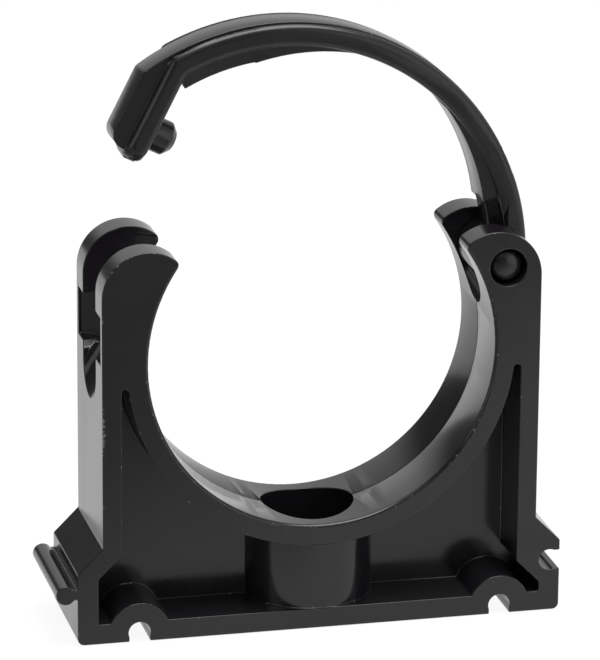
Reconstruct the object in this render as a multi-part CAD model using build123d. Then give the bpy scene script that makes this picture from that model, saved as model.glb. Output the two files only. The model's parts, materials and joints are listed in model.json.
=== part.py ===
from build123d import *
from math import acos, atan2, cos, degrees, hypot, radians, sin, sqrt
import os

# Pipe clip with a hinged strap: X across, Y along the pipe, Z up, origin on the pipe's axis at mid depth.
# The strap is drawn closed and then swung open about its hinge.

# Saddle and block
pipe_diameter = 63.0
clip_depth = 23.5
axis_height = 51.0
saddle_wall = 3.8
upper_half_width = 39.8
shoulder_step = 4.6
shoulder_height = 17.9
upper_wall = 3.5
lower_wall = 3.8
floor_thickness = 3.7
web_thickness = 2.4
pocket_top_drop = 3.9
pocket_corner = 0.5
base_corner = 1.2
bore_edge_chamfer = 0.4
parting_line_width = 0.3
parting_line_depth = 0.1

# Bolt boss under the saddle
boss_diameter = 23.4
head_recess_diameter = 16.8
bolt_hole_diameter = 8.4
bolt_shoulder_height = 7.0

# Side rail, its socket and the two grooves under the base
rail_diameter = 3.5
rail_reach = 2.1
rail_neck = 1.9
rail_height = 9.6
socket_clearance = 0.2
socket_depth = 1.9
socket_mouth = 3.5
groove_diameter = 4.0
groove_mouth = 3.7
groove_height = 1.6
groove_spacing = 66.4
groove_wall = 3.6
socket_foot_height = 1.8

# Ears on both sides of the saddle
ear_top = 20.85
ear_radius = 8.2
ear_tip_round = 1.3
ear_gap = 11.6
gap_floor_inside = 4.9
gap_floor_outside = -8.7

# Release pockets beside the latch
release_bottom = 0.3
release_top = 9.0
release_width = 20.4
release_step = 0.7

# Hinge
hinge_x = 33.65
hinge_z = 14.2
hinge_hole_diameter = 6.8
hinge_clearance = 0.08
trunnion_recess = 2.0
trunnion_chamfer = 1.2
eye_radius = 4.7
eye_corner_round = 1.8

# Strap, closed
strap_side_clearance = 0.3
arch_centre_x = -1.2
arch_centre_z = -3.3
arch_inner_radius = 40.25
strap_thickness = 4.05
strap_edge_round = 1.4
rib_groove_width = 0.8
rib_groove_depth = 0.9
rib_groove_start = 30.0
leg_inner_x = -33.5
leg_thickness = 3.7
leg_end_z = 2.6
leg_bend_round = 2.0
leg_end_round = 1.3
leg_tongue_round = 3.6
fin_width = 6.4
fin_end_rise = 1.5
fin_height = 3.1
fin_round = 2.6
fin_lead_in = 3.0
pad_width = 8.4
pad_height = 2.3
pad_step = 0.2
pad_length_angle = 18.0
pad_taper_angle = 27.0
foot_pad_height = 2.7
foot_pad_start = 42.0
foot_pad_end = 72.0
foot_height = 2.3
peg_diameter = 6.2
peg_length = 4.5
peg_chamfer = 1.3
peg_rise = 5.8

# Opening of the strap at rest
strap_open_angle = 27.0

bore_radius = pipe_diameter / 2
base_half_width = upper_half_width + shoulder_step
ring_radius = bore_radius + saddle_wall
underside = -axis_height
floor_top = underside + floor_thickness
shoulder_top = underside + shoulder_height
shoulder_bottom = shoulder_top - shoulder_step
groove_z = underside + groove_height
rail_z = underside + rail_height
socket_radius = rail_diameter / 2 + socket_clearance
arch_outer_radius = arch_inner_radius + strap_thickness
strap_width = ear_gap - 2 * strap_side_clearance
leg_outer_x = leg_inner_x - leg_thickness


def plate(outline, depth):
    """A front-view outline made solid, centred on mid depth."""
    return extrude(outline, amount=depth / 2, both=True)


def front(shape):
    """A flat shape drawn in X and Z, laid into the front view."""
    return Plane.XZ * shape


def polar(centre, radius, angle):
    """Point at a radius and an angle from +X about a centre."""
    turn = radians(angle)
    return (centre[0] + radius * cos(turn), centre[1] + radius * sin(turn))


def ear_outline():
    """Right ear: one round from its outer face over the top to a tip at the bore."""
    centre_x = upper_half_width - ear_radius
    centre_z = ear_top - ear_radius
    stem = Pos(centre_x, centre_z / 2) * Rectangle(2 * ear_radius, centre_z)
    ear = Pos(centre_x, centre_z) * Circle(ear_radius) + stem - Circle(bore_radius)
    tip = ear.vertices().filter_by(lambda v: v.Y > 1 and abs(hypot(v.X, v.Y) - bore_radius) < 0.01)
    return fillet(tip, ear_tip_round)


def block_outline():
    """Outside of the block, with its bore but without its pockets."""
    half = make_face(Polyline(
        (0, underside),
        (base_half_width, underside),
        (base_half_width, shoulder_bottom),
        (upper_half_width, shoulder_top),
        (upper_half_width, 0),
        (0, 0),
        close=True,
    ))
    half = fillet(half.vertices().group_by(Axis.Y)[0].sort_by(Axis.X)[-1], base_corner)
    half = half - Circle(bore_radius)
    half = half + ear_outline()
    return half + mirror(half, about=Plane.YZ)


def pocket_outline():
    """Open space under the saddle, as seen from the front."""
    upper = upper_half_width - upper_wall
    lower = base_half_width - lower_wall
    step = lower - upper
    left_step = shoulder_top + upper_wall * (1 - sqrt(2))
    right_step = floor_top + socket_foot_height + step
    space = make_face(Polyline(
        (-upper, -pocket_top_drop),
        (-upper, left_step),
        (-lower, left_step - step),
        (-lower, floor_top),
        (lower, floor_top),
        (lower, right_step - step),
        (upper, right_step),
        (upper, -pocket_top_drop),
        close=True,
    ))
    space = space - Circle(ring_radius)
    for side in (-1, 1):
        space = space - Pos(side * groove_spacing / 2, groove_z) * Circle(groove_diameter / 2 + groove_wall)
    corners = space.vertices().filter_by(lambda v: abs(v.X) > upper - 2)
    return fillet(corners, pocket_corner)


def keyhole(radius, mouth, reach, direction):
    """Round groove with a slightly narrower mouth, reaching the given way."""
    neck = Pos(reach / 2, 0) * Rectangle(reach, mouth)
    return Rot(0, 0, direction) * (Circle(radius) + neck)


def block_cutouts():
    """Grooves under the base and the socket in the right side."""
    groove = keyhole(groove_diameter / 2, groove_mouth, groove_height + 1, -90)
    socket = keyhole(socket_radius, socket_mouth, socket_depth + 1, 0)
    cuts = Pos(base_half_width - socket_depth, rail_z) * socket
    for side in (-1, 1):
        cuts = cuts + Pos(side * groove_spacing / 2, groove_z) * groove
    return cuts


def side_rail():
    """Round rail on a short neck, along the left side."""
    neck = Pos(-base_half_width - rail_reach / 2, rail_z) * Rectangle(rail_reach + 1, rail_neck)
    rod = Pos(-base_half_width - rail_reach, rail_z) * Circle(rail_diameter / 2)
    return plate(front(neck + rod), clip_depth)


def bolt_boss():
    """Round boss between the floor and the saddle."""
    height = axis_height - bore_radius / 2
    boss = Cylinder(boss_diameter / 2, height, align=(Align.CENTER, Align.CENTER, Align.MIN))
    return Pos(0, 0, underside) * boss


def bolt_passage():
    """Head recess from the saddle down to the shoulder, and the bolt's hole."""
    shoulder = underside + bolt_shoulder_height
    up = (Align.CENTER, Align.CENTER, Align.MIN)
    recess = Pos(0, 0, shoulder) * Cylinder(head_recess_diameter / 2, axis_height, align=up)
    hole = Pos(0, 0, underside - 1) * Cylinder(bolt_hole_diameter / 2, axis_height, align=up)
    return recess + hole


def gap_between_ears():
    """Slot between the right ears, its round floor falling away outwards."""
    radius = ear_gap / 2
    edge_x = sqrt(bore_radius**2 - gap_floor_inside**2)
    run = upper_half_width - edge_x
    fall = gap_floor_inside - gap_floor_outside
    high = 2 * axis_height
    section = Circle(radius) + Pos(0, high / 2) * Rectangle(ear_gap, high)
    start = Plane(
        origin=(edge_x - run, 0, gap_floor_inside + fall + radius),
        x_dir=(0, 1, 0),
        z_dir=(1, 0, 0),
    )
    return extrude(start * section, amount=3 * hypot(run, fall), dir=(run, 0, -fall))


def release_pockets():
    """Flared widening of the left gap at the outer face, beside the strap's leg."""
    wide = release_width / 2
    narrow = ear_gap / 2
    face_x = -upper_half_width
    step_x = face_x + release_step
    flare_x = step_x + wide - narrow
    outline = make_face(Polyline(
        (face_x - 1, -wide),
        (step_x, -wide),
        (flare_x, -narrow),
        (flare_x, narrow),
        (step_x, wide),
        (face_x - 1, wide),
        close=True,
    ))
    return extrude(Pos(0, 0, release_bottom) * outline, amount=release_top - release_bottom)


def bore_chamfers():
    """Small bevel round the bore at the front and the rear face."""
    cone = Cone(bore_radius, bore_radius + bore_edge_chamfer, bore_edge_chamfer)
    rear = Pos(0, (clip_depth - bore_edge_chamfer) / 2, 0) * Rot(-90, 0, 0) * cone
    return rear + mirror(rear, about=Plane.XZ)


def clip_body():
    outline = block_outline()
    cuts = block_cutouts()
    pockets = pocket_outline()
    body = plate(front(outline - cuts - pockets), clip_depth)
    body = body + plate(front(pockets), web_thickness)
    body = body + bolt_boss()
    body = body - Rot(90, 0, 0) * Cylinder(bore_radius, clip_depth + 2)
    body = body - Rot(90, 0, 0) * Cylinder(bore_radius + parting_line_depth, parting_line_width)
    body = body + side_rail()
    body = body - bolt_passage()
    gap = gap_between_ears()
    body = body - gap - mirror(gap, about=Plane.YZ)
    body = body - release_pockets() - bore_chamfers()
    hole = Rot(90, 0, 0) * Cylinder(hinge_hole_diameter / 2, clip_depth + 2)
    return body - Pos(hinge_x, 0, hinge_z) * hole


def on_arch(radius, angle):
    """Point of the arch at a radius and an angle from +X."""
    return polar((arch_centre_x, arch_centre_z), radius, angle)


def arch_angle(radius, x):
    """Angle at which a circle about the arch's centre meets the upright line at x."""
    return degrees(acos((x - arch_centre_x) / radius))


def arch_arc(radius, start, end):
    """Arc about the arch's centre from one angle to another."""
    return Edge.make_three_point_arc(
        on_arch(radius, start), on_arch(radius, (start + end) / 2), on_arch(radius, end)
    )


def band_outline():
    """The strap's band: arch and straight leg."""
    hinge_turn = degrees(atan2(hinge_z - arch_centre_z, hinge_x - arch_centre_x))
    outer_end = arch_angle(arch_outer_radius, leg_outer_x)
    inner_end = arch_angle(arch_inner_radius, leg_inner_x)
    band = make_face(Wire([
        arch_arc(arch_outer_radius, hinge_turn, outer_end),
        Edge.make_line(on_arch(arch_outer_radius, outer_end), (leg_outer_x, leg_end_z)),
        Edge.make_line((leg_outer_x, leg_end_z), (leg_inner_x, leg_end_z)),
        Edge.make_line((leg_inner_x, leg_end_z), on_arch(arch_inner_radius, inner_end)),
        arch_arc(arch_inner_radius, inner_end, hinge_turn),
        Edge.make_line(on_arch(arch_inner_radius, hinge_turn), on_arch(arch_outer_radius, hinge_turn)),
    ]))
    bends = band.vertices().filter_by(lambda v: v.X < 0 and v.Y > leg_end_z + 1)
    band = fillet(bends, leg_bend_round)
    return fillet(band.vertices().sort_by(Axis.X)[-1], eye_corner_round)


def fin_outline():
    """Finger fin: the arch runs on past the bend, then drops beside the leg."""
    fin_x = leg_outer_x - fin_height
    root_x = leg_outer_x + leg_thickness / 2
    fin_end_z = leg_end_z + fin_end_rise
    root_radius = arch_inner_radius + strap_thickness / 2
    start = arch_angle(arch_outer_radius, leg_inner_x) - fin_lead_in
    end = arch_angle(arch_outer_radius, fin_x)
    knee = arch_angle(root_radius, root_x)
    fin = make_face(Wire([
        arch_arc(arch_outer_radius, start, end),
        Edge.make_line(on_arch(arch_outer_radius, end), (fin_x, fin_end_z)),
        Edge.make_line((fin_x, fin_end_z), (root_x, fin_end_z)),
        Edge.make_line((root_x, fin_end_z), on_arch(root_radius, knee)),
        arch_arc(root_radius, knee, start),
        Edge.make_line(on_arch(root_radius, start), on_arch(arch_outer_radius, start)),
    ]))
    flank = on_arch(arch_outer_radius, end)[1] - fin_end_z
    return fillet(fin.vertices().filter_by(lambda v: v.X < fin_x + 0.1), min(fin_round, 0.45 * flank))


def pad_outline(start, end, start_height, end_height):
    """Thickening inside the arch between two angles, its height changing evenly."""
    mid = (start + end) / 2
    root = arch_inner_radius + strap_thickness / 3
    begin = on_arch(arch_inner_radius - start_height, start)
    middle = on_arch(arch_inner_radius - (start_height + end_height) / 2, mid)
    finish = on_arch(arch_inner_radius - end_height, end)
    return make_face(Wire([
        Edge.make_three_point_arc(begin, middle, finish),
        Edge.make_line(finish, on_arch(root, end)),
        arch_arc(root, end, start),
        Edge.make_line(on_arch(root, start), begin),
    ]))


def rib_grooves():
    """Two narrow grooves round the outside of the arch, in line with the fin's two sides."""
    floor = arch_outer_radius - rib_groove_depth
    inside = fin_width / 2
    section = make_face(Polyline(
        (floor, inside),
        (arch_outer_radius + 1, inside),
        (arch_outer_radius + 1, inside + rib_groove_width),
        (floor, inside + rib_groove_width),
        close=True,
    ))
    end = arch_angle(floor, leg_outer_x) + fin_lead_in
    groove = revolve(section, Axis((0, 0, 0), (0, -1, 0)), end - rib_groove_start)
    groove = Pos(arch_centre_x, 0, arch_centre_z) * Rot(0, -rib_groove_start, 0) * groove
    return groove + mirror(groove, about=Plane.XZ)


def latch_peg():
    """Round peg on the inside of the leg, bevelled at its tip."""
    root = leg_thickness / 2
    peg = Cylinder(peg_diameter / 2, peg_length + root, align=(Align.CENTER, Align.CENTER, Align.MIN))
    peg = chamfer(peg.edges().group_by(Axis.Z)[-1], peg_chamfer)
    return Pos(leg_inner_x - root, 0, leg_end_z + peg_rise) * Rot(0, 90, 0) * peg


def hinge_eye():
    """Round eye of the strap with a pin stub on both sides."""
    length = clip_depth - 2 * trunnion_recess
    pin = Cylinder(hinge_hole_diameter / 2 - hinge_clearance, length)
    pin = chamfer(pin.edges().filter_by(GeomType.CIRCLE), trunnion_chamfer)
    eye = Cylinder(eye_radius, strap_width)
    return Pos(hinge_x, 0, hinge_z) * Rot(90, 0, 0) * (eye + pin)


def round_ended(width, corner):
    """What lies outside a downward tongue of this width and corner radius, with its end at 0."""
    tongue = Pos(0, 2 * corner) * Rectangle(width, 4 * corner)
    tongue = fillet(tongue.vertices().group_by(Axis.Y)[0], corner)
    return Rectangle(width + 2, 2 * corner) - tongue


def leg_end_cut():
    """Rounds the lower end of the leg in the front view and in the side view."""
    from_front = front(round_ended(leg_thickness, leg_end_round))
    from_side = Plane.YZ * round_ended(strap_width, leg_tongue_round)
    cut = plate(from_front, strap_width + 2) + extrude(from_side, amount=leg_thickness, both=True)
    return Pos((leg_outer_x + leg_inner_x) / 2, 0, leg_end_z) * cut


def closed_strap():
    strap = plate(front(band_outline()), strap_width)
    rims = strap.edges().filter_by(
        lambda e: abs(abs(e.center().Y) - strap_width / 2) < 0.01
        and e.geom_type == GeomType.CIRCLE
        and abs(e.radius - arch_outer_radius) < 0.01
    )
    strap = fillet(rims, strap_edge_round)
    strap = strap - rib_grooves() - leg_end_cut()
    strap = strap + plate(front(fin_outline()), fin_width)
    bend = arch_angle(arch_inner_radius, leg_inner_x)
    step = bend - pad_length_angle
    pads = pad_outline(bend + 2, step, pad_height, pad_height)
    pads = pads + pad_outline(step, step - pad_taper_angle, pad_height + pad_step, 0)
    pads = pads + pad_outline(foot_pad_start, foot_pad_end, foot_pad_height, 0)
    foot = pad_outline(rib_groove_start, foot_pad_start, foot_height, foot_height)
    strap = strap + plate(front(pads), pad_width) + plate(front(foot), fin_width)
    return strap + latch_peg() + hinge_eye()


def retaining_strap():
    """The strap swung open about its hinge."""
    hinge = Axis((hinge_x, 0, hinge_z), (0, 1, 0))
    return closed_strap().rotate(hinge, strap_open_angle)


os.makedirs("parts", exist_ok=True)
export_step(clip_body(), "parts/clip_body.step")
export_step(retaining_strap(), "parts/retaining_strap.step")
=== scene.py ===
import bmesh
import bpy
import json
from math import hypot, radians
from mathutils import Matrix, Vector
from mathutils.bvhtree import BVHTree

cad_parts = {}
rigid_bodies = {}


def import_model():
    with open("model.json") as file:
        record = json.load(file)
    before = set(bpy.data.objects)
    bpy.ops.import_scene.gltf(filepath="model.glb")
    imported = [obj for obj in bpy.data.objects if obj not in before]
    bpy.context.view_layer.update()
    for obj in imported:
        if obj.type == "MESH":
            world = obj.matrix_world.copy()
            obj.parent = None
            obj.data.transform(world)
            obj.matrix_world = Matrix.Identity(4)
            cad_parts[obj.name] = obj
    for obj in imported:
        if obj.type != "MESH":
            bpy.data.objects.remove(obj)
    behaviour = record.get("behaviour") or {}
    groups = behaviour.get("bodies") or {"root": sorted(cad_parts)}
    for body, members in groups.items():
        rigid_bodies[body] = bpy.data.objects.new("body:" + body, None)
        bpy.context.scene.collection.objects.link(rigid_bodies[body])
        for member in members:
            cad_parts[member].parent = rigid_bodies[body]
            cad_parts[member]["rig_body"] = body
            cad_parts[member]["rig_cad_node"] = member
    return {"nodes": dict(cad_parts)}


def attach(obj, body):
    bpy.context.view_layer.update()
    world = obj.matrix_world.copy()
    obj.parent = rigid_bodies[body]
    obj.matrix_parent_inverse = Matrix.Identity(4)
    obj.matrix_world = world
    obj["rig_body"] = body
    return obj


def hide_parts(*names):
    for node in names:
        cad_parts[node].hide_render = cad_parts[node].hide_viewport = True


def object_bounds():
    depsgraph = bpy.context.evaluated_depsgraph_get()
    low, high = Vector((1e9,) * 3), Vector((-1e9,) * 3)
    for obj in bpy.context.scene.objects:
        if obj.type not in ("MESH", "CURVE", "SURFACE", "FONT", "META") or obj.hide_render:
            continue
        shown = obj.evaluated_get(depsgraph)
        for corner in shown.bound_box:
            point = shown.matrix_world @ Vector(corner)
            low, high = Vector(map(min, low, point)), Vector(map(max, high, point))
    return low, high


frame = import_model()
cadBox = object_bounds()
print("frame loaded")

mm = 0.001

# what both mouldings share
moulding = {
    "weld": 0.002 * mm,  # corners closer than this are one
    "flatTurn": 0.6,  # degrees between faces that still make one flat face
    "smoothTurn": 48,  # degrees that the shading runs on over
    "strayShare": 0.55,  # of a round, how far a corner may lie off the old surface
    "strayPasses": 3,
}


def selectOnly(obj):
    bpy.ops.object.select_all(action="DESELECT")
    obj.select_set(True)
    bpy.context.view_layer.objects.active = obj


def mergedCopy(nodeName, pieceName):
    # the solid's loose triangles joined, and its flat faces made whole again
    piece = frame["nodes"][nodeName].copy()
    piece.data = piece.data.copy()
    piece.parent = None
    piece.name = pieceName
    bpy.context.scene.collection.objects.link(piece)
    for key in ("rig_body", "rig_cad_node"):  # these mark the solid, not its copy
        if key in piece:
            del piece[key]
    selectOnly(piece)
    bpy.ops.object.mode_set(mode="EDIT")
    bpy.ops.mesh.select_all(action="SELECT")
    bpy.ops.mesh.remove_doubles(threshold=moulding["weld"])
    bpy.ops.mesh.dissolve_limited(angle_limit=radians(moulding["flatTurn"]))
    bpy.ops.object.mode_set(mode="OBJECT")
    piece.data.materials.clear()
    return piece


def pullBack(mesh, before, allowed):
    # corners that the bevel threw off the old surface go back to a sound neighbour
    for _ in range(moulding["strayPasses"]):
        stray = {corner for corner in mesh.verts if before.find_nearest(corner.co)[3] > allowed}
        for corner in stray:
            beside = [line.other_vert(corner) for line in corner.link_edges]
            sound = [other for other in beside if other not in stray]
            if sound:
                corner.co = min(sound, key=lambda other: (other.co - corner.co).length).co


def keepInBox(mesh, low, high):
    for corner in mesh.verts:
        corner.co = Vector(min(max(corner.co[axis], low[axis]), high[axis]) for axis in range(3))


def deleteHanging(piece):
    # faces with a free side and no side that two faces share, and what is loose without them
    bpy.ops.mesh.select_mode(type="FACE")
    bpy.ops.mesh.select_all(action="DESELECT")
    mesh = bmesh.from_edit_mesh(piece.data)
    for face in mesh.faces:
        sharing = [len(line.link_faces) for line in face.edges]
        face.select_set(min(sharing) == 1 and max(sharing) != 2)
    bmesh.update_edit_mesh(piece.data)
    bpy.ops.mesh.delete(type="FACE")
    bpy.ops.mesh.select_all(action="SELECT")
    bpy.ops.mesh.delete_loose()


def roundEdges(piece, edge, picks, material):
    # rounds the sharp edges whose middle the test picks
    selectOnly(piece)
    bpy.ops.object.mode_set(mode="EDIT")
    bpy.ops.mesh.select_mode(type="EDGE")
    bpy.ops.mesh.select_all(action="DESELECT")
    mesh = bmesh.from_edit_mesh(piece.data)
    before = BVHTree.FromBMesh(mesh)
    low = [min(corner.co[axis] for corner in mesh.verts) for axis in range(3)]
    high = [max(corner.co[axis] for corner in mesh.verts) for axis in range(3)]
    for line in mesh.edges:
        middle = (line.verts[0].co + line.verts[1].co) / 2
        turn = line.calc_face_angle(0) if len(line.link_faces) == 2 else 0
        line.select_set(turn > radians(edge["sharperThan"]) and picks(middle))
    bmesh.update_edit_mesh(piece.data)
    bpy.ops.mesh.bevel(
        offset_type="OFFSET",
        offset=edge["round"],
        segments=edge["segments"],
        profile=0.5,
        affect="EDGES",
        clamp_overlap=False,
        material=material,
    )
    mesh = bmesh.from_edit_mesh(piece.data)
    pullBack(mesh, before, moulding["strayShare"] * edge["round"])
    keepInBox(mesh, low, high)
    bmesh.update_edit_mesh(piece.data)
    bpy.ops.mesh.select_all(action="SELECT")
    bpy.ops.mesh.remove_doubles(threshold=moulding["weld"])
    deleteHanging(piece)
    bpy.ops.mesh.select_all(action="SELECT")
    bpy.ops.mesh.normals_make_consistent(inside=False)
    bpy.ops.object.mode_set(mode="OBJECT")


def smoothShading(piece):
    selectOnly(piece)
    bpy.ops.object.shade_smooth_by_angle(angle=radians(moulding["smoothTurn"]))


def evenNormals(piece):
    # large flat faces stay flat up to their rounds
    selectOnly(piece)
    weighted = piece.modifiers.new("evenNormals", "WEIGHTED_NORMAL")
    weighted.mode = "FACE_AREA"
    weighted.keep_sharp = True
    bpy.ops.object.modifier_apply(modifier=weighted.name)


# nodes that come up again and again; a source is another node's output

def addMath(tree, operation, *sources):
    # here a source may be a plain number too
    node = tree.nodes.new("ShaderNodeMath")
    node.operation = operation
    for socket, source in zip(node.inputs, sources):
        if isinstance(source, (int, float)):
            socket.default_value = source
        else:
            tree.links.new(source, socket)
    return node.outputs["Value"]


def addNoise(tree, source, scale, detail=2):
    node = tree.nodes.new("ShaderNodeTexNoise")
    node.inputs["Scale"].default_value = scale
    node.inputs["Detail"].default_value = detail
    tree.links.new(source, node.inputs["Vector"])
    return node.outputs["Fac"]


def addRange(tree, source, fromRange, toRange, interpolation="LINEAR"):
    node = tree.nodes.new("ShaderNodeMapRange")
    node.interpolation_type = interpolation
    node.inputs["From Min"].default_value = fromRange[0]
    node.inputs["From Max"].default_value = fromRange[1]
    node.inputs["To Min"].default_value = toRange[0]
    node.inputs["To Max"].default_value = toRange[1]
    tree.links.new(source, node.inputs["Value"])
    return node.outputs["Result"]


def addBump(tree, source, distance):
    node = tree.nodes.new("ShaderNodeBump")
    node.inputs["Strength"].default_value = 1
    node.inputs["Distance"].default_value = distance
    tree.links.new(source, node.inputs["Height"])
    return node


# black moulded plastic; each piece adds its own colour, gloss, streaks and knock

plastic = {
    "ior": 1.5,
    "specular": 0.4,
    "tintAt": (0.3, 0.7),
    "tintShare": ((0.85, 0.85, 0.87), (1.15, 1.14, 1.15)),
    "cloudScale": 70,
    "driftRange": (0.6, 1.4),
    "waveHeight": 0.01 * mm,
    "grain": 900,
    "grainHeight": 0.004 * mm,
    "speckScale": 1500,
    "speckFrom": 0.74,
    "speckSoft": 0.05,
    "speckStrength": 0.2,
    "nickScale": 2600,
    "nickRange": (0.30, 0.42),
    "wornColor": (0.16, 0.155, 0.16, 1),
    "wornMatte": 0.35,
}


def mouldedPlastic(name, look):
    material = bpy.data.materials.new(name)
    material.use_nodes = True
    tree = material.node_tree
    nodes, links = tree.nodes, tree.links
    shader = nodes["Principled BSDF"]
    shader.inputs["IOR"].default_value = look["ior"]
    shader.inputs["Specular IOR Level"].default_value = look["specular"]
    place = nodes.new("ShaderNodeTexCoord").outputs["Object"]

    cloud = addNoise(tree, place, look["cloudScale"], detail=3)
    flowPlace = nodes.new("ShaderNodeMapping")  # streaks the way the melt ran
    flowPlace.inputs["Scale"].default_value = look["flowScale"]
    links.new(place, flowPlace.inputs["Vector"])
    flow = addNoise(tree, flowPlace.outputs["Vector"], 1)
    drift = addMath(tree, "ADD", cloud, flow)

    tint = nodes.new("ShaderNodeValToRGB")
    tint.color_ramp.elements[0].position, tint.color_ramp.elements[1].position = look["tintAt"]
    for stop, share in zip(tint.color_ramp.elements, look["tintShare"]):
        stop.color = [look["color"][part] * share[part] for part in range(3)] + [1]
    links.new(cloud, tint.inputs["Fac"])

    speck = addNoise(tree, place, look["speckScale"])  # dust and small pale nicks
    speckRange = (look["speckFrom"], look["speckFrom"] + look["speckSoft"])
    specks = addRange(tree, speck, speckRange, (0, look["speckStrength"]))

    zonePlace = nodes.new("ShaderNodeMapping")  # the zone that has been knocked
    zonePlace.vector_type = "TEXTURE"
    zonePlace.inputs["Location"].default_value = look["knockPlace"]
    zonePlace.inputs["Scale"].default_value = look["knockSize"]
    links.new(place, zonePlace.inputs["Vector"])
    zone = nodes.new("ShaderNodeTexGradient")
    zone.gradient_type = "SPHERICAL"
    links.new(zonePlace.outputs["Vector"], zone.inputs["Vector"])
    nick = addNoise(tree, place, look["nickScale"], detail=3)
    knocked = addMath(tree, "MULTIPLY", zone.outputs["Fac"], nick)
    nicks = addRange(tree, knocked, look["nickRange"], (0, look["knockStrength"]))

    wear = addMath(tree, "MAXIMUM", specks, nicks)
    worn = nodes.new("ShaderNodeMix")
    worn.data_type = "RGBA"
    worn.inputs["B"].default_value = look["wornColor"]
    links.new(wear, worn.inputs["Factor"])
    links.new(tint.outputs["Color"], worn.inputs["A"])
    links.new(worn.outputs["Result"], shader.inputs["Base Color"])

    smoothest = look["roughness"] - look["roughnessSpread"]
    roughest = look["roughness"] + look["roughnessSpread"]
    gloss = addRange(tree, drift, look["driftRange"], (smoothest, roughest))
    matte = addMath(tree, "MULTIPLY_ADD", wear, look["wornMatte"], gloss)
    links.new(matte, shader.inputs["Roughness"])

    grain = addNoise(tree, place, look["grain"])  # the mould's fine texture
    fine = addBump(tree, grain, look["grainHeight"])
    wave = addBump(tree, drift, look["waveHeight"])  # slight sink and flow waves
    links.new(fine.outputs["Normal"], wave.inputs["Normal"])
    links.new(wave.outputs["Normal"], shader.inputs["Normal"])
    return material


# body: saddle, ears, base, boss and rail in one moulding

body = {
    "partingRadius": 31.55 * mm,  # the parting groove round the bore
    "partingHalf": 0.4 * mm,
    "partingDepth": 0.2 * mm,
    "catchX": -36.4 * mm,  # the corners below the catch
    "catchReach": (3.2 * mm, 7.5 * mm, 6 * mm),
    "edge": {"round": 0.2 * mm, "segments": 3, "sharperThan": 30},
    "plastic": dict(
        plastic,
        color=(0.0078, 0.0068, 0.0080, 1),
        roughness=0.17,
        roughnessSpread=0.04,
        flowScale=(260, 260, 14),
        knockPlace=(-39.8 * mm, -11.75 * mm, -11.5 * mm),  # on the left front edge
        knockSize=(1.3 * mm, 1.3 * mm, 11 * mm),
        knockStrength=0.6,
    ),
    "rimSheenAndWear": dict(  # what differs on the rounded edges: a lighter colour, partly wear and partly a painted highlight, and more pale specks of wear
        color=(0.0105, 0.0094, 0.0107, 1),
        roughness=0.16,
        speckFrom=0.66,
        speckStrength=0.5,
    ),
}


def bodyPicks(point):
    # all but the parting groove and the corners below the catch, which are too narrow
    offGroove = abs(hypot(point.x, point.z) - body["partingRadius"])
    if abs(point.y) < body["partingHalf"] and offGroove < body["partingDepth"]:
        return False
    away = (abs(point.x - body["catchX"]), abs(point.y), abs(point.z))
    return any(far > reach for far, reach in zip(away, body["catchReach"]))


clipBody = mergedCopy("clip_body", "clipBody")
clipBody.data.materials.append(mouldedPlastic("bodyPlastic", body["plastic"]))
# the second material goes on the rounded edges; its lighter colour is partly wear and partly a
# painted highlight
clipBody.data.materials.append(mouldedPlastic("bodyRimSheenAndWear", dict(body["plastic"], **body["rimSheenAndWear"])))
roundEdges(clipBody, body["edge"], bodyPicks, 1)
smoothShading(clipBody)
evenNormals(clipBody)
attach(clipBody, "body")
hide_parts("clip_body")
print("body dressed", len(clipBody.data.polygons))


# strap: arch, leg, fin, peg and hinge pins in one moulding

strap = {
    "hinge": Vector((33.65, 0, 14.2)) * mm,
    "open": 27,  # degrees, as the part lies at rest
    "archCentre": Vector((-1.2, 0, -3.3)) * mm,
    "halfWidth": 5.5 * mm,
    "halfMargin": 0.03 * mm,
    "grooveOutside": 4.0 * mm,
    "grooveSlack": 0.02 * mm,
    "grooveMargin": 0.06 * mm,
    "barEnd": 5.0 * mm,
    "barTop": 43.0 * mm,  # from the arch's centre
    "barDrop": 0.45 * mm,
    "legInner": -33.5 * mm,  # the leg's places are given with the strap closed
    "legOuter": -37.2 * mm,
    "legMargin": 0.2 * mm,
    "legEnd": 6.5 * mm,
    "legEndBand": 1.5 * mm,
    "legEndMargin": 0.3 * mm,
    "pegHeight": 8.4 * mm,
    "pegClear": 3.5 * mm,
    "finHalf": 3.3 * mm,
    "eyeClear": 7.5 * mm,
    "pinHalf": 7.5 * mm,
    "pinReach": 4 * mm,
    "pinEnd": 9.6 * mm,
    "pinSquare": 0.99,  # how straight a pin's end face looks along Y
    "pinMiddle": 2 * mm,
    "pinOut": 0.25 * mm,
    "pinSpread": 1.41,
    "pinRing": 0.6 * mm,
    "pinRise": (0.39 * mm, 0.275 * mm, 0.19 * mm, 0.11 * mm),
    "barEdge": {"round": 1.15 * mm, "segments": 5, "sharperThan": 35},
    "smallEdge": {"round": 0.18 * mm, "segments": 3, "sharperThan": 30},
    "plastic": dict(
        plastic,
        color=(0.0082, 0.0072, 0.0084, 1),
        roughness=0.23,
        roughnessSpread=0.03,
        flowScale=(120, 260, 120),
        knockPlace=(-22 * mm, 0, 38 * mm),
        knockSize=(2 * mm, 2 * mm, 2 * mm),
        knockStrength=0.2,
    ),
    # the strap's rounded edges: a lighter colour, partly wear and partly a painted highlight,
    # and more pale specks of wear
    "rimSheenAndWear": dict(
        color=(0.0110, 0.0099, 0.0112, 1),
        roughness=0.18,
        speckFrom=0.68,
        speckStrength=0.45,
    ),
}
backToClosed = Matrix.Rotation(radians(-strap["open"]), 3, "Y")


def closedPoint(point):
    # a point of the open strap, as it lies when the strap is closed
    return backToClosed @ (point - strap["hinge"]) + strap["hinge"]


def fromHinge(point):
    away = point - strap["hinge"]
    return hypot(away.x, away.z)


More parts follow.
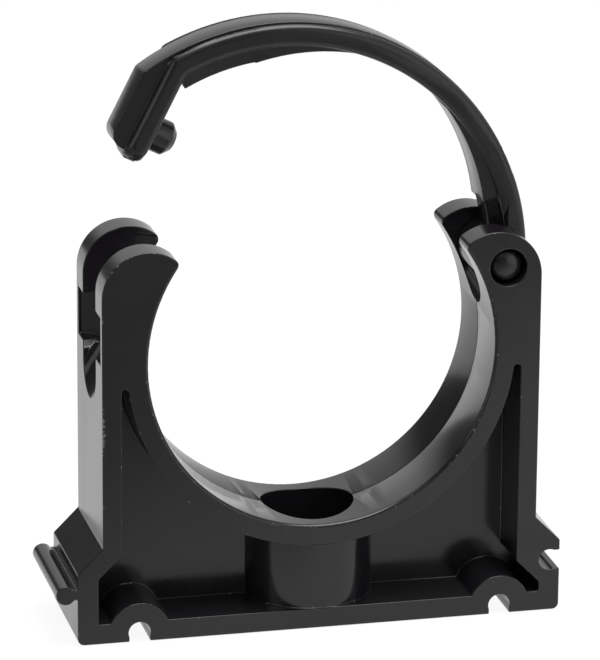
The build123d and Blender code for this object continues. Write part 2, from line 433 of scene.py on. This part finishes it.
def barPicks(point):
    # inner rims of the arch and the leg, and the leg's outline beside the fin
    if fromHinge(point) < strap["eyeClear"]:
        return False
    if abs(abs(point.y) - strap["halfWidth"]) < strap["halfMargin"]:
        return True
    place = closedPoint(point)
    if place.x > strap["legInner"] + strap["legMargin"] or place.z > strap["legEnd"]:
        return False
    if hypot(place.y, place.z - strap["pegHeight"]) < strap["pegClear"]:
        return False
    return abs(place.y) > strap["finHalf"] or place.x > strap["legOuter"] + strap["legMargin"]


def pinPicks(point):
    return abs(point.y) > strap["pinHalf"] and fromHinge(point) < strap["pinReach"]


def smallPicks(point):
    # all but the leg's end, the grooves' outer edges and the pins
    place = closedPoint(point)
    atEnd = place.z < strap["legEnd"] - strap["legEndBand"]
    if atEnd and place.x < strap["legInner"] + strap["legEndMargin"]:
        return False
    if abs(abs(point.y) - strap["grooveOutside"]) < strap["grooveMargin"]:
        return False
    return not pinPicks(point)


def lowerBars(piece):
    # the tops of the edge bars fall away towards the grooves
    run = strap["barEnd"] - strap["grooveOutside"]
    barStart = strap["grooveOutside"] - strap["grooveSlack"]
    for vertex in piece.data.vertices:
        side = abs(vertex.co.y)
        out = closedPoint(vertex.co) - strap["archCentre"]
        reach = hypot(out.x, out.z)
        if reach > strap["barTop"] and barStart < side < strap["barEnd"]:
            drop = strap["barDrop"] * ((strap["barEnd"] - side) / run) ** 2
            inward = Vector((-out.x / reach, 0, -out.z / reach)) * drop
            vertex.co += backToClosed.transposed() @ inward


def spreadPins(piece):
    # the pins get wider at their ends and reach further into the ears
    for vertex in piece.data.vertices:
        if not pinPicks(vertex.co):
            continue
        if abs(vertex.co.y) > strap["pinEnd"]:
            vertex.co.x += (vertex.co.x - strap["hinge"].x) * (strap["pinSpread"] - 1)
            vertex.co.z += (vertex.co.z - strap["hinge"].z) * (strap["pinSpread"] - 1)
        vertex.co.y += strap["pinOut"] if vertex.co.y > 0 else -strap["pinOut"]


def domePins(piece):
    # rings set into each pin's flat end and raised to a dome
    selectOnly(piece)
    bpy.ops.object.mode_set(mode="EDIT")
    bpy.ops.mesh.select_mode(type="FACE")
    bpy.ops.mesh.select_all(action="DESELECT")
    mesh = bmesh.from_edit_mesh(piece.data)
    for face in mesh.faces:
        middle = face.calc_center_median()
        flat = abs(face.normal.y) > strap["pinSquare"] and abs(middle.y) > strap["pinEnd"]
        face.select_set(flat and fromHinge(middle) < strap["pinMiddle"])
    bmesh.update_edit_mesh(piece.data)
    for rise in strap["pinRise"]:
        bpy.ops.mesh.inset(thickness=strap["pinRing"], depth=rise, use_boundary=True)
    bpy.ops.object.mode_set(mode="OBJECT")


retainingStrap = mergedCopy("retaining_strap", "retainingStrap")
# the strap's second material, for its rounded edges, is partly wear and partly a painted
# highlight
strapRimSheenAndWear = dict(strap["plastic"], **strap["rimSheenAndWear"])
retainingStrap.data.materials.append(mouldedPlastic("strapPlastic", strap["plastic"]))
retainingStrap.data.materials.append(mouldedPlastic("strapRimSheenAndWear", strapRimSheenAndWear))
lowerBars(retainingStrap)
spreadPins(retainingStrap)
domePins(retainingStrap)
roundEdges(retainingStrap, strap["barEdge"], barPicks, 0)
roundEdges(retainingStrap, strap["smallEdge"], smallPicks, 1)
smoothShading(retainingStrap)
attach(retainingStrap, "strap")
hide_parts("retaining_strap")
print("strap dressed", len(retainingStrap.data.polygons))


# studio: paper under the clip, the air round it and three soft lights

studio = {
    "paperSize": 4.0,
    "paperGap": 0.2 * mm,  # below the clip
    "paperColor": 0.97,
    "paperRoughness": 0.9,
    "paperSpecular": 0.2,
    "paperGlow": 0.93,
    "paperSlant": 1.2,  # turns the run of the dimmed glow to the front left
    "paperFade": (-0.16, -0.03),  # metres along that run, from dimmed glow to full glow
    "paperShade": 0.28,
    "airRise": 0.6,  # turns the dim sides towards the floor
    "airFrontFade": (-0.85, -0.2),
    "airFront": 0.17,
    "airLeftFade": (-0.25, 0.05),
    "airLeft": 0.15,
    "lights": {
        "topLight": {"size": 0.6, "power": 8.0, "place": Vector((0.05, -0.13, 0.75))},
        "leftLight": {"size": 0.4, "power": 0.65, "place": Vector((-0.70, -0.25, 0.15))},
        "fillLight": {"size": 0.5, "power": 0.85, "place": Vector((0.42, -0.62, 0.10))},
    },
}

# the camera sees the paper white; in reflections its glow is dimmed to the front and left, a
# painted shade that looks grey
bpy.ops.object.select_all(action="DESELECT")
paperHeight = cadBox[0][2] - studio["paperGap"]
bpy.ops.mesh.primitive_plane_add(size=studio["paperSize"], location=(0, 0, paperHeight))
paper = bpy.context.object
paper.name = "paper"
paperMaterial = bpy.data.materials.new("paper")
paperMaterial.use_nodes = True
paperTree = paperMaterial.node_tree
paperShader = paperTree.nodes["Principled BSDF"]
paperShader.inputs["Base Color"].default_value = (studio["paperColor"],) * 3 + (1,)
paperShader.inputs["Roughness"].default_value = studio["paperRoughness"]
paperShader.inputs["Specular IOR Level"].default_value = studio["paperSpecular"]
paperPlace = paperTree.nodes.new("ShaderNodeTexCoord")
paperAxes = paperTree.nodes.new("ShaderNodeSeparateXYZ")
paperTree.links.new(paperPlace.outputs["Object"], paperAxes.inputs["Vector"])
paperX, paperY = paperAxes.outputs["X"], paperAxes.outputs["Y"]
paperRun = addMath(paperTree, "MULTIPLY_ADD", paperX, studio["paperSlant"], paperY)
paperGlowDim = (studio["paperShade"], 1)
# painted shade: the paper's glow is dimmed along that run, for reflections only
paperFade = addRange(paperTree, paperRun, studio["paperFade"], paperGlowDim, "SMOOTHSTEP")
rays = paperTree.nodes.new("ShaderNodeLightPath").outputs
paperSeen = addMath(paperTree, "MAXIMUM", paperFade, rays["Is Camera Ray"])
paperGlow = paperTree.nodes.new("ShaderNodeEmission")
paperTree.links.new(paperSeen, paperGlow.inputs["Strength"])
seenOrGlossy = addMath(paperTree, "MAXIMUM", rays["Is Camera Ray"], rays["Is Glossy Ray"])
seenAtAll = addMath(paperTree, "MAXIMUM", seenOrGlossy, rays["Is Transmission Ray"])
glowShare = addMath(paperTree, "MULTIPLY", seenAtAll, studio["paperGlow"])
paperMix = paperTree.nodes.new("ShaderNodeMixShader")
paperTree.links.new(glowShare, paperMix.inputs["Fac"])
paperTree.links.new(paperShader.outputs["BSDF"], paperMix.inputs[1])
paperTree.links.new(paperGlow.outputs["Emission"], paperMix.inputs[2])
paperOut = paperTree.nodes["Material Output"]
paperTree.links.new(paperMix.outputs["Shader"], paperOut.inputs["Surface"])
paper.data.materials.append(paperMaterial)
print("paper laid")

# white room behind, dim on the viewer's side and low at the left
world = bpy.context.scene.world or bpy.data.worlds.new("studioAir")
bpy.context.scene.world = world
world.use_nodes = True
air = world.node_tree
air.nodes.clear()
airPlace = air.nodes.new("ShaderNodeTexCoord")
airAxes = air.nodes.new("ShaderNodeSeparateXYZ")
air.links.new(airPlace.outputs["Generated"], airAxes.inputs["Vector"])


def dimSide(axis, fade, dim):
    # dim at the low end of the axis, and lighter further up
    up, along = airAxes.outputs["Z"], airAxes.outputs[axis]
    run = addMath(air, "MULTIPLY_ADD", up, studio["airRise"], along)
    return addRange(air, run, fade, (dim, 1), "SMOOTHSTEP")


frontShade = dimSide("Y", studio["airFrontFade"], studio["airFront"])
leftShade = dimSide("X", studio["airLeftFade"], studio["airLeft"])
airLight = air.nodes.new("ShaderNodeBackground")
airOut = air.nodes.new("ShaderNodeOutputWorld")
air.links.new(addMath(air, "MULTIPLY", frontShade, leftShade), airLight.inputs["Strength"])
air.links.new(airLight.outputs["Background"], airOut.inputs["Surface"])

for lightName, light in studio["lights"].items():
    bpy.ops.object.light_add(type="AREA", location=light["place"])
    lamp = bpy.context.object
    lamp.name = lightName
    lamp.data.size = light["size"]
    lamp.data.energy = light["power"]
    towardsClip = Vector((0, 0, 0)) - lamp.location
    lamp.rotation_euler = towardsClip.to_track_quat("-Z", "Y").to_euler()
print("studio lit")


# camera at the photograph's angle

view = {
    "turn": 13.641,
    "tilt": 17.069,
    "roll": -0.462,
    "distance": 0.804302,
    "target": Vector((-0.001501, 0, 0.00142)),
    "lens": 270.19,
    "sensor": 36,
    "nearest": 0.01,
    "farthest": 20,
}

turned = (
    Matrix.Rotation(radians(-view["turn"]), 4, "Z")
    @ Matrix.Rotation(radians(90 - view["tilt"]), 4, "X")
    @ Matrix.Rotation(radians(-view["roll"]), 4, "Z")
)
cameraPlace = view["target"] + turned.to_3x3() @ Vector((0, 0, view["distance"]))
bpy.ops.object.camera_add()
camera = bpy.context.object
camera.name = "camera"
camera.matrix_world = Matrix.Translation(cameraPlace) @ turned
camera.data.sensor_fit = "HORIZONTAL"
camera.data.sensor_width = view["sensor"]
camera.data.lens = view["lens"]
camera.data.clip_start = view["nearest"]
camera.data.clip_end = view["farthest"]
bpy.context.scene.camera = camera

bpy.context.scene.view_settings.view_transform = "Standard"
print("camera placed")
